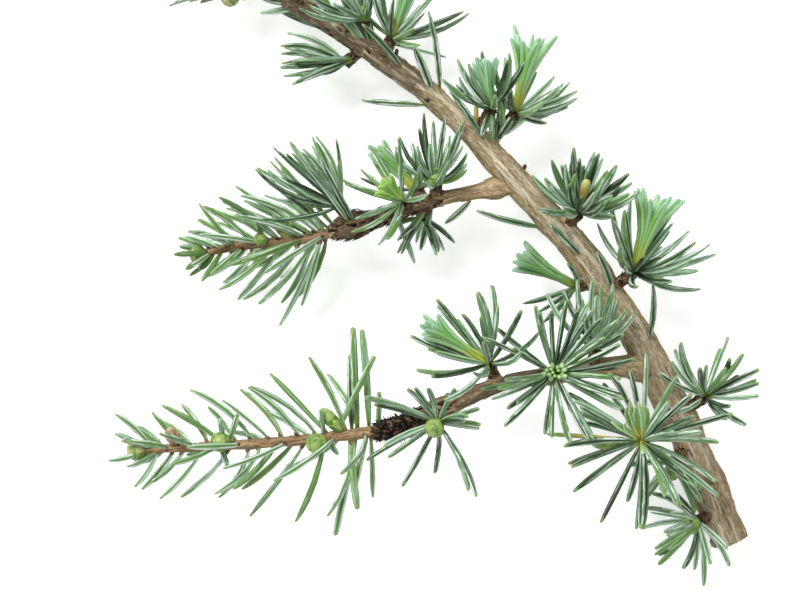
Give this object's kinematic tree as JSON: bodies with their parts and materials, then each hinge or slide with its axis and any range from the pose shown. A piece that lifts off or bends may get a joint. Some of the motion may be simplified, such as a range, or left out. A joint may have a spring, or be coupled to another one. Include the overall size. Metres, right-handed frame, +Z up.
{
  "type": "cut branch of atlas cedar",
  "caption": "Cut branch of a blue-green cedar, lying down: a bowed woody stem with side twigs, rosettes of needles on short spurs, buds and leafy tips.",
  "frame": {"origin": "centre of the branch's bounding box on the ground it lies on", "axes": "+Z up from the ground to the viewer who looks down on it, +Y towards the leader's side of the picture (its top edge), +X to the picture's right, where the cut end is"},
  "size_m": [0.1506, 0.1702, 0.0368],
  "materials": {
    "bark": "grey-tan bark with fine ridges along the stem",
    "twig_bark": "orange-brown young bark, with dark scaly knobs",
    "needles": "waxy blue-green needles with yellow-green tips"
  },
  "bodies": {
    "root": {"leader_leafy_shoot": "needles", "leader_rosette_1": "needles", "leader_rosette_2": "needles", "leader_rosette_3": "needles", "leader_rosette_4": "needles", "lone_needle_1": "needles", "lone_needle_2": "needles", "lone_needle_3": "needles", "lone_needle_4": "needles", "lone_needle_5": "needles", "lone_needle_6": "needles", "lone_needle_7": "needles", "lone_needle_8": "needles", "lone_needle_9": "needles", "lower_leafy_shoot": "needles", "lower_rosette_1": "needles", "lower_rosette_2": "needles", "lower_rosette_3": "needles", "lower_rosette_4": "needles", "lower_twig": "twig_bark", "main_stem": "bark", "stem_rosette_1": "needles", "stem_rosette_10": "needles", "stem_rosette_11": "needles", "stem_rosette_12": "needles", "stem_rosette_2": "needles", "stem_rosette_3": "needles", "stem_rosette_4": "needles", "stem_rosette_5": "needles", "stem_rosette_6": "needles", "stem_rosette_7": "needles", "stem_rosette_8": "needles", "stem_rosette_9": "needles", "upper_leafy_shoot": "needles", "upper_rosette_1": "needles", "upper_rosette_2": "needles", "upper_rosette_3": "needles", "upper_rosette_4": "needles", "upper_rosette_5": "needles", "upper_twig": "twig_bark"}
  },
  "joints": []
}
